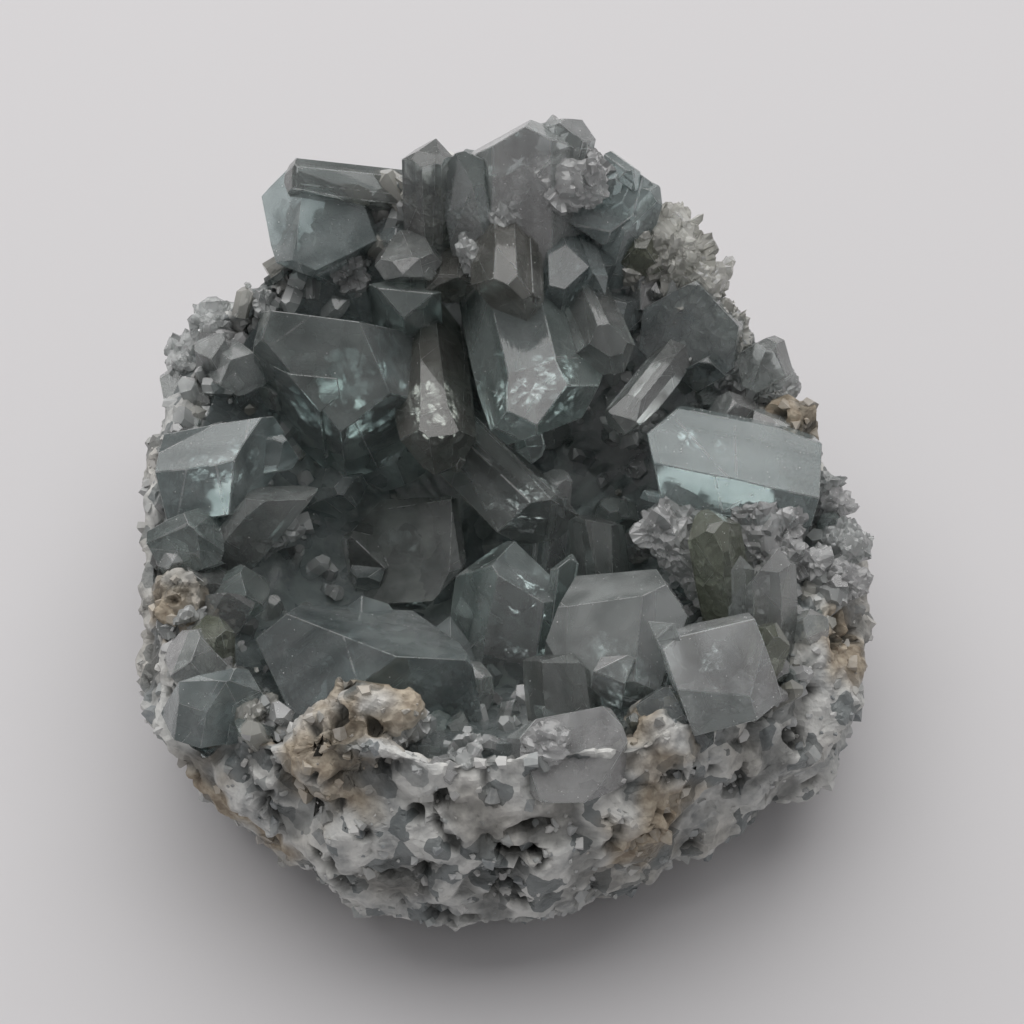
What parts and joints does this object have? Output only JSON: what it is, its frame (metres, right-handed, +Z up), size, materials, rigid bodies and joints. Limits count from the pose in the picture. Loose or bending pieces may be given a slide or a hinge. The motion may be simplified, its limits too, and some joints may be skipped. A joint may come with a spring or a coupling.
{
  "type": "celestite crystal cluster",
  "caption": "Druse of blocky blue-grey celestite crystals grown together in a lumpy bowl of rock rind, cut flat below so that it stands as a display specimen.",
  "frame": {"origin": "middle of the flat face that the piece rests on", "axes": "+Z up; +Y from the low front lip towards the high rear wall"},
  "size_m": [0.0998, 0.1018, 0.0659],
  "materials": {
    "rind": "rough granular rock, white-grey with tan and brown patches",
    "celestite": "glassy see-through crystal, blue-grey, with white veils and frosted broken faces"
  },
  "bodies": {
    "root": {"matrix": "rind", "crystals": "celestite"}
  },
  "joints": []
}
